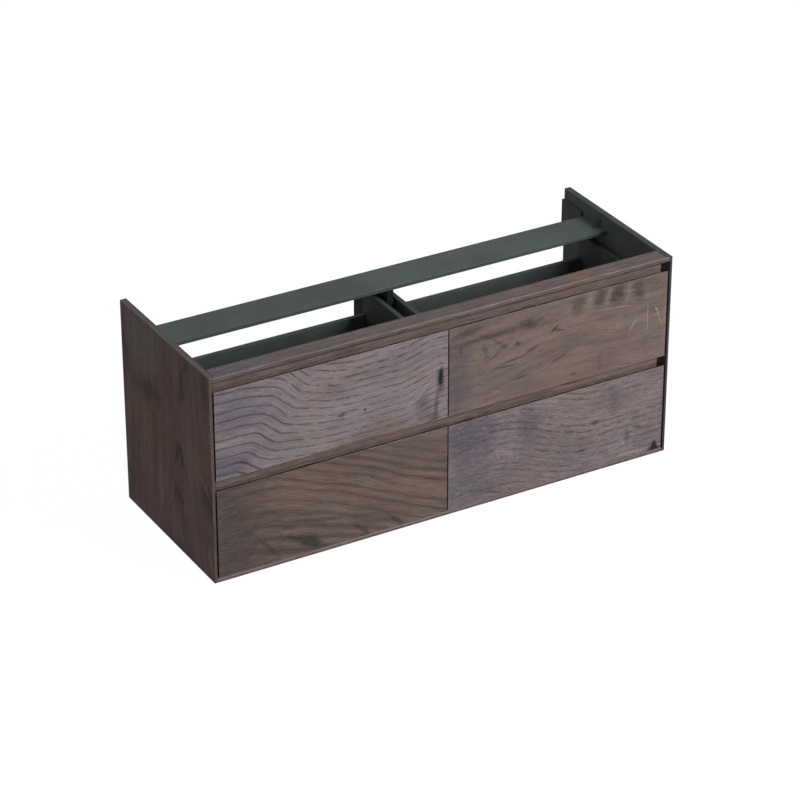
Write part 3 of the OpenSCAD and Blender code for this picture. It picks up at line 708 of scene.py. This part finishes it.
bolt = pattern_object(turned("bolt_pattern", [
    (0.8, -1.0), (1.0, -0.97), (1.0, -0.72), (0.62, -0.70), (0.62, -0.14), (1.0, -0.11),
    (1.0, -0.02), (0.85, 0.0)], 20))
bolt_places = [ends_of(group) for group in bodies_of("cam_bolts")]
bolt_radius, bolt_length = 0.003, 0.034
bolts = set_fasteners("cam_bolt_set", bolt_places, bolt, bolt_radius, bolt_length, plated_steel)
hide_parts("cam_bolts")
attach(bolts, "carcass")


# Fixing screws: pan-head screws with a cross recess, of zinc-plated steel where they hold the
# cabinet rails of the runners and blackened where they hold the stretcher brackets.
screw_radius, screw_length = 0.0032, 0.0105
screw_profile = [(0.08, -1.0), (0.5, -0.9)]
for step in range(9):
    height = -0.88 + step * 0.07
    screw_profile += [(0.55, height), (0.38, height + 0.035)]
screw_profile += [(0.5, -0.2), (0.96, -0.19), (1.0, -0.12), (0.86, -0.04), (0.55, 0.0)]
screw = pattern_object(cross_cut(turned("screw_pattern", screw_profile, 24),
                                 "screw_pattern_cut", 0.5, 0.16, 0.1))
screw_places = [ends_of(group) for group in bodies_of("fixing_screws")]
bracket_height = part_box("stretcher_brackets")[0].z - 0.01
black_steel = powder_coat("blackened_screw", 21)
for name, finish, held in (
        ("rail_screw_set", plated_steel, [p for p in screw_places if p[0].z < bracket_height]),
        ("bracket_screw_set", black_steel, [p for p in screw_places if p[0].z > bracket_height])):
    screws = set_fasteners(name, held, screw, screw_radius, screw_length, finish)
    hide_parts("fixing_screws")
    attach(screws, "carcass")


# Bumper pads: domes of clear soft plastic, 8 mm across. They are stuck on the grip rails where the
# closed fronts meet them.
pad_gel = new_finish("clear_pad_gel")
gel_tree = pad_gel.node_tree
gel_place = put(gel_tree, "TexCoord").outputs["Object"]
gel_haze = cloud(gel_tree, gel_place, (500.0, 500.0, 500.0), 8, 2.0)
coat(gel_tree, tint(gel_tree, gel_haze, colour("b9b6ae"), colour("a5a49e")),
     fade(gel_tree, gel_haze, 0.3, 0.7, 0.18, 0.3), gel_haze, 0.05, 0.0001,
     Transmission_Weight=0.5, IOR=1.45)
pad = pattern_object(turned("pad_pattern", [
    (1.0, -1.0), (1.0, -0.7), (0.94, -0.35), (0.78, -0.1), (0.5, 0.0)], 24))
pad_places = []
for group in bodies_of("bumper_pads"):
    head = ends_of(group, axis=1)[0]
    pad_places.append((Vector((head.x, min(p.y for p in group), head.z)), Vector((0, -1, 0))))
pad_radius, pad_height = 0.004, 0.0017
pads = set_fasteners("bumper_pad_set", pad_places, pad, pad_radius, pad_height, pad_gel)
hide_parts("bumper_pads")
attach(pads, "carcass")


# Wall hangers: a flat powder-coated steel housing inside each side panel at the rear, open to the
# wall, with a zinc-plated hook in it. Two screws in its front lift the hook and draw it in.
hanger_coat = powder_coat("hanger_powder_coat", 9)
hook_zinc = zinc_plate("hook_zinc", 19, "9a9c9c", 0.3, (900.0, 60.0, 900.0))
for side in ("left", "right"):
    housing = eased_board(side + "_hanger_housing", side + "_hanger_shell", 0.0004, hanger_coat,
                          shortest=0.003)
    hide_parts(side + "_hanger_housing")
    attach(housing, "carcass")
    hook = eased_board(side + "_hanger_hook", side + "_steel_hook", 0.0005, hook_zinc,
                       shortest=0.002)
    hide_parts(side + "_hanger_hook")
    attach(hook, side + "_hook")

adjuster_radius, adjuster_length = 0.0024, 0.0476
adjuster_profile = [(0.6, -1.0), (0.79, -0.98)]
for step in range(36):
    height = -0.97 + step * 0.025
    adjuster_profile += [(0.79, height), (0.66, height + 0.0125)]
adjuster_profile += [(0.79, -0.034), (0.97, -0.033), (1.0, -0.02), (0.9, 0.0)]
adjuster = pattern_object(cross_cut(turned("adjuster_pattern", adjuster_profile, 20),
                                    "adjuster_pattern_cut", 0.62, 0.2, 0.02))
adjusters = set_fasteners(
    "hanger_adjuster_set", [ends_of(g) for g in bodies_of("hanger_adjusting_screws")],
    adjuster, adjuster_radius, adjuster_length, plated_steel)
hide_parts("hanger_adjusting_screws")
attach(adjusters, "carcass")


# Drawer runners: full-extension runners of rolled galvanised steel. A fixed section is screwed to
# the panel, a box section runs in it at half speed, and a channel carries the drawer's side.
runner_zinc = zinc_plate("runner_galvanised", 27, "8f9394", 0.36, (900.0, 30.0, 900.0))
for drawer in drawers:
    for section, body in (("cabinet", "carcass"), ("middle", drawer + "_runners"),
                          ("drawer", drawer + "_drawer")):
        node = f"{drawer}_{section}_rails"
        rails = eased_board(node, f"{drawer}_{section}_sections", 0.0004, runner_zinc,
                            shortest=0.003)
        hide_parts(node)
        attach(rails, body)


# Front catches: moulded grey plastic clips under each drawer's front, which hold it on its
# runners until their levers are squeezed.
catch_plastic = new_finish("catch_plastic")
catch_tree = catch_plastic.node_tree
catch_place = put(catch_tree, "TexCoord").outputs["Object"]
catch_grain = put(catch_tree, "TexVoronoi", {"Vector": catch_place, "Scale": 2200.0}).outputs[0]
catch_haze = cloud(catch_tree, catch_place, (90.0, 90.0, 90.0), 6, 2.0)
coat(catch_tree, tint(catch_tree, catch_haze, colour("53575a"), colour("484b4e")),
     fade(catch_tree, catch_haze, 0.3, 0.7, 0.45, 0.55), catch_grain, 0.2, 0.0002)
for drawer in drawers:
    catches = eased_board(drawer + "_front_catches", drawer + "_catch_clips", 0.0006,
                          catch_plastic, shortest=0.0025)
    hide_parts(drawer + "_front_catches")
    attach(catches, drawer + "_drawer")


# Drawer boxes: 12 mm sides and back of anthracite lacquered board, doweled together, with an
# 8 mm bottom held in a groove.
box_lacquer = anthracite_lacquer("anthracite_drawer", 5, "4b5350", 0.5)
for drawer in drawers:
    for part in ("box_left_side", "box_right_side", "box_back", "box_bottom"):
        board = eased_board(f"{drawer}_{part}", f"{drawer}_{part}_board", 0.0006, box_lacquer)
        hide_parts(f"{drawer}_{part}")
        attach(board, drawer + "_drawer")


# Drawer fronts: four 16 mm boards, each with its own leaf of smoked oak laid with the grain along
# the width. The outer ends are mitred to the side panels, and the top edges slope back as a grip.
front_leaves = {
    "upper_left": dict(
        tones=("8e8385", "7f7476", "685d60", "352d30"), seed=61, lines=45, width=0.16,
        weight=0.9, bands=0.22, wander=0.008, breaks=(0.12, 0.2), pores=0.35, flecks=0.35,
        crowd=0.32, dash=46.0, even=0.55,
        sweeps=((0.03, 0.10, 0.036, 0.6), (0.10, 0.17, 0.016, 0.5), (0.46, 0.11, -0.028, 0.0)),
        marks=((0.06, 0.16, 0.13, 0.08, -15, "6a6a77", 0.65, 0.9),
               (0.03, 0.03, 0.10, 0.05, 0, "605f69", 0.7, 0.9),
               (0.38, 0.012, 0.15, 0.03, 4, "746356", 0.6, 0.9),
               (0.52, 0.045, 0.03, 0.05, 0, "655b5e", 0.7, 0.9),
               (0.583, 0.06, 0.009, 0.12, 0, "94797b", 0.7, 0.8),
               (0.557, 0.035, 0.008, 0.08, -4, "493d40", 0.7, 0.9),
               (0.550, 0.015, 0.03, 0.02, 0, "544a4c", 0.6, 0.9),
               (0.569, 0.100, 0.016, 0.055, 0, "51474c", 0.8, 0.9),
               (0.569, 0.108, 0.007, 0.032, -3, "23242f", 1.0, 0.6),
               (0.315, 0.080, 0.016, 0.007, 0, "453b3e", 0.8, 0.8),
               (0.373, 0.078, 0.006, 0.004, 0, "35292c", 0.9, 0.8))),
    "upper_right": dict(
        tones=("83726b", "6f605e", "594b48", "3d3232"), seed=71, lines=38, width=0.22,
        weight=0.15, bands=0.16, wander=0.03, breaks=(0.0, 0.02), pores=0.4, flecks=0.35,
        dash=60.0, grain=0.45, sweeps=((0.05, 0.22, -0.035, 0.3), (0.30, 0.25, 0.03, 0.0)),
        marks=((0.02, 0.08, 0.06, 0.18, 0, "60575b", 0.8, 0.9),
               (0.30, 0.03, 0.12, 0.05, 8, "7f6b5f", 0.5, 0.9),
               (0.10, 0.12, 0.08, 0.05, 20, "7b6b64", 0.5, 0.9),
               (0.342, 0.196, 0.026, 0.042, 6, "544843", 0.75, 0.8),
               (0.372, 0.196, 0.013, 0.042, -8, "85746c", 0.7, 0.8),
               (0.402, 0.198, 0.022, 0.044, -14, "4e413c", 0.75, 0.8),
               (0.425, 0.196, 0.010, 0.040, -14, "87766e", 0.7, 0.8),
               (0.450, 0.194, 0.028, 0.046, -16, "463b39", 0.85, 0.8),
               (0.459, 0.216, 0.014, 0.016, -10, "434f48", 0.6, 0.9),
               (0.480, 0.196, 0.010, 0.040, -10, "85756e", 0.7, 0.8),
               (0.508, 0.194, 0.028, 0.044, 2, "4c4041", 0.8, 0.8),
               (0.555, 0.194, 0.030, 0.034, 0, "66584f", 0.6, 0.8),
               (0.440, 0.150, 0.110, 0.011, -5, "75655f", 0.9, 0.6),
               (0.210, 0.183, 0.050, 0.020, 8, "423837", 0.85, 0.9),
               (0.045, 0.200, 0.060, 0.014, 12, "4c403b", 0.75, 0.9),
               (0.115, 0.176, 0.120, 0.014, 2, "4c403b", 0.85, 0.9),
               (0.030, 0.160, 0.007, 0.026, 0, "4b4040", 0.6, 0.8),
               (0.095, 0.140, 0.009, 0.034, 15, "493e3f", 0.5, 0.9),
               (0.125, 0.158, 0.034, 0.006, -38, "443939", 0.55, 0.9),
               (0.118, 0.122, 0.034, 0.006, 28, "443939", 0.5, 0.9),
               (0.145, 0.140, 0.020, 0.010, 0, "3c3132", 0.65, 0.9),
               (0.181, 0.140, 0.012, 0.011, 0, "3c3131", 0.7, 0.9),
               (0.279, 0.151, 0.018, 0.007, 35, "3c3131", 0.65, 0.9),
               (0.290, 0.146, 0.026, 0.006, -20, "3e3333", 0.6, 0.9),
               (0.222, 0.115, 0.040, 0.008, 24, "473c37", 0.6, 0.9),
               (0.165, 0.100, 0.040, 0.005, 6, "433834", 0.7, 0.8),
               (0.150, 0.088, 0.050, 0.004, -4, "4a3f3c", 0.6, 0.8),
               (0.190, 0.050, 0.030, 0.005, 5, "443937", 0.6, 0.8),
               (0.300, 0.075, 0.06, 0.007, 24, "4d4140", 0.5, 0.8),
               (0.335, 0.020, 0.012, 0.006, 0, "453a39", 0.7, 0.8),
               (0.405, 0.030, 0.010, 0.035, 5, "5b4f50", 0.5, 0.9),
               (0.440, 0.164, 0.095, 0.0035, -6, "9c8d83", 0.5, 0.8),
               (0.535, 0.112, 0.0022, 0.055, 0, "a99a90", 0.6, 0.8),
               (0.496, 0.108, 0.0022, 0.032, -32, "a99a90", 0.6, 0.8),
               (0.561, 0.125, 0.0026, 0.024, 22, "b8a79a", 0.7, 0.8),
               (0.572, 0.095, 0.0024, 0.034, 24, "ab9583", 0.6, 0.8),
               (0.583, 0.085, 0.008, 0.110, 0, "8f7463", 0.6, 0.9),
               (0.125, 0.030, 0.020, 0.004, -12, "93827a", 0.6, 0.8),
               (0.470, 0.035, 0.07, 0.03, 0, "7f6e6d", 0.6, 0.9))),
    "lower_left": dict(
        tones=("7a6860", "6c5c57", "50433f", "3a302e"), seed=83, lines=33, width=0.3,
        weight=0.25, bands=0.7, wander=0.016, breaks=(0.5, 0.7), pores=0.25, flecks=0.3,
        dash=20.0, even=0.1, calm=(0.02, 0.14),
        sweeps=((0.06, 0.20, 0.030, 0.1), (0.22, 0.50, 0.190, -0.4)),
        marks=((0.02, 0.11, 0.16, 0.30, 0, "564b49", 0.97, 0.8),
               (0.18, 0.16, 0.12, 0.04, -6, "7a6253", 0.5, 0.9),
               (0.50, 0.19, 0.14, 0.06, -14, "625456", 0.7, 0.9),
               (0.38, 0.06, 0.08, 0.07, 0, "5f5052", 0.6, 0.9),
               (0.52, 0.088, 0.12, 0.007, -25, "8a7566", 0.75, 0.9),
               (0.34, 0.155, 0.11, 0.006, -10, "7f6a5c", 0.5, 0.9),
               (0.110, 0.060, 0.050, 0.008, -45, "493e3b", 0.7, 0.9),
               (0.135, 0.030, 0.040, 0.007, -50, "463b38", 0.7, 0.9),
               (0.26, 0.075, 0.11, 0.009, -13, "463b36", 0.7, 0.9),
               (0.20, 0.040, 0.055, 0.010, -28, "3c3a36", 0.8, 0.8),
               (0.235, 0.025, 0.050, 0.020, -30, "3b3b38", 0.95, 0.8),
               (0.37, 0.012, 0.05, 0.010, -45, "44393a", 0.7, 0.9),
               (0.45, 0.020, 0.05, 0.008, -40, "44393a", 0.7, 0.9))),
    "lower_right": dict(
        tones=("8a7d7e", "7b6f70", "635758", "3a3033"), seed=97, lines=60, width=0.2,
        weight=0.75, bands=0.2, wander=0.008, breaks=(0.0, 0.02), pores=0.6, flecks=0.6,
        dash=60.0, even=0.2, calm=(0.02, 0.17), sweeps=((0.08, 0.30, 0.070, 0.2),),
        marks=((0.05, 0.17, 0.15, 0.10, 0, "5e5a63", 0.85, 0.8),
               (0.05, 0.05, 0.12, 0.08, 0, "6a666c", 0.8, 0.8),
               (0.215, 0.17, 0.045, 0.08, 0, "605e63", 0.65, 0.9),
               (0.45, 0.17, 0.025, 0.06, 10, "635a5c", 0.6, 0.9),
               (0.49, 0.06, 0.010, 0.028, 0, "5b5563", 0.7, 0.8),
               (0.40, 0.13, 0.06, 0.035, 0, "887874", 0.5, 0.9),
               (0.40, 0.120, 0.022, 0.008, 0, "463b3c", 0.7, 0.8),
               (0.36, 0.055, 0.026, 0.006, 0, "41373a", 0.7, 0.8),
               (0.10, 0.028, 0.10, 0.005, -3, "4b4246", 0.7, 0.9),
               (0.12, 0.014, 0.05, 0.005, -20, "463c3f", 0.7, 0.9),
               (0.52, 0.075, 0.024, 0.007, -20, "473d3f", 0.7, 0.8),
               (0.265, 0.165, 0.008, 0.004, 0, "a89c96", 0.7, 0.8),
               (0.132, 0.105, 0.005, 0.014, 10, "9c979f", 0.6, 0.8),
               (0.49, 0.012, 0.045, 0.004, 3, "a0948c", 0.7, 0.8),
               (0.355, 0.018, 0.020, 0.003, 0, "9b9088", 0.7, 0.8),
               (0.568, 0.004, 0.010, 0.030, 0, "2a2225", 1.0, 0.7),
               (0.568, -0.004, 0.026, 0.018, 0, "2f2729", 1.0, 0.7)))}
# Painted highlight: a lighter oak on each front's upward rounded top arris, where the light
# catches the edge.
arris_shading_front = oak_leaf(
    "worn_front_arris", (0, -0.219, 0), (1, 0, 0), (0, 1, 1),
    ("a08f8b", "897b79", "706463", "5a4f50"), 49, lines=120, weight=0.3, bands=0.3)
for drawer, leaf in front_leaves.items():
    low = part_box(drawer + "_front")[0]
    front_oak = oak_leaf(drawer + "_front_oak", (low.x, low.y, low.z), (1, 0, 0), (0, 1, 1),
                         leaf.pop("tones"), leaf.pop("seed"), **leaf)
    front = eased_board(
        drawer + "_front", drawer + "_oak_front", 0.0008, front_oak, arris_shading_front,
        arris_shading=lambda normal, usual: 1 if normal.z > 0.3 and abs(normal.x) < 0.3 else usual)
    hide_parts(drawer + "_front")
    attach(front, drawer + "_drawer")


# Floor, light and camera: a plain pale floor, lit so evenly that hardly a shadow shows, under
# soft studio light. One broad lamp stands in front to the right, and the pale room fills the rest.
floor_finish = new_finish("pale_floor")
floor_tree = floor_finish.node_tree
floor_place = put(floor_tree, "TexCoord").outputs["Object"]
floor_haze = cloud(floor_tree, floor_place, (0.8, 0.8, 0.8), 2, 2.0)
floor_shader = put(floor_tree, "BsdfPrincipled", {
    "Base Color": tint(floor_tree, floor_haze, colour("505050"), colour("545454")),
    "Roughness": 0.9, "Specular IOR Level": 0.0, "Emission Color": (1.0, 1.0, 1.0, 1.0),
    "Emission Strength": 0.97})
put(floor_tree, "OutputMaterial", {"Surface": floor_shader.outputs[0]})
floor_mesh = bpy.data.meshes.new("studio_floor")
floor_half = 40.0
floor_mesh.from_pydata([(-floor_half, -floor_half, 0), (floor_half, -floor_half, 0),
                        (floor_half, floor_half, 0), (-floor_half, floor_half, 0)],
                       [], [(0, 1, 2, 3)])
floor = shown("studio_floor", floor_mesh, floor_finish)
floor.visible_diffuse = False
floor.visible_glossy = False

room = bpy.data.worlds.new("pale_room")
room.use_nodes = True
room_tree = room.node_tree
room_tree.nodes.clear()
room_up = dot(room_tree, put(room_tree, "TexCoord").outputs["Generated"], (0.0, 0.0, 1.0))
room_light = put(room_tree, "Background", {
    "Color": (1.0, 1.0, 1.0, 1.0), "Strength": fade(room_tree, room_up, -0.4, 0.4, 0.17, 0.37)})
put(room_tree, "OutputWorld", {"Surface": room_light.outputs[0]})
bpy.context.scene.world = room


def lamp(name, place, target, size, power):
    light = bpy.data.lights.new(name, "AREA")
    light.shape = "DISK"
    light.size = size
    light.energy = power
    made = bpy.data.objects.new(name, light)
    made.location = place
    aim = Vector(target) - Vector(place)
    made.rotation_euler = aim.to_track_quat("-Z", "Y").to_euler()
    bpy.context.scene.collection.objects.link(made)
    return made


lamp("front_lamp", (2.6, -4.6, 3.1), (0, 0, 0.25), 2.4, 296.0)

camera_data = bpy.data.cameras.new("camera")
camera_data.lens = 145.3
camera_data.sensor_width = 36.0
camera_data.clip_end = 200.0
camera = bpy.data.objects.new("camera", camera_data)
camera.location = (-3.2874, -5.6952, 3.8017)
view_direction = Vector((0.4384, 0.7594, -0.4807))
camera.rotation_euler = view_direction.to_track_quat("-Z", "Y").to_euler()
bpy.context.scene.collection.objects.link(camera)
bpy.context.scene.camera = camera
bpy.context.scene.view_settings.view_transform = "Standard"
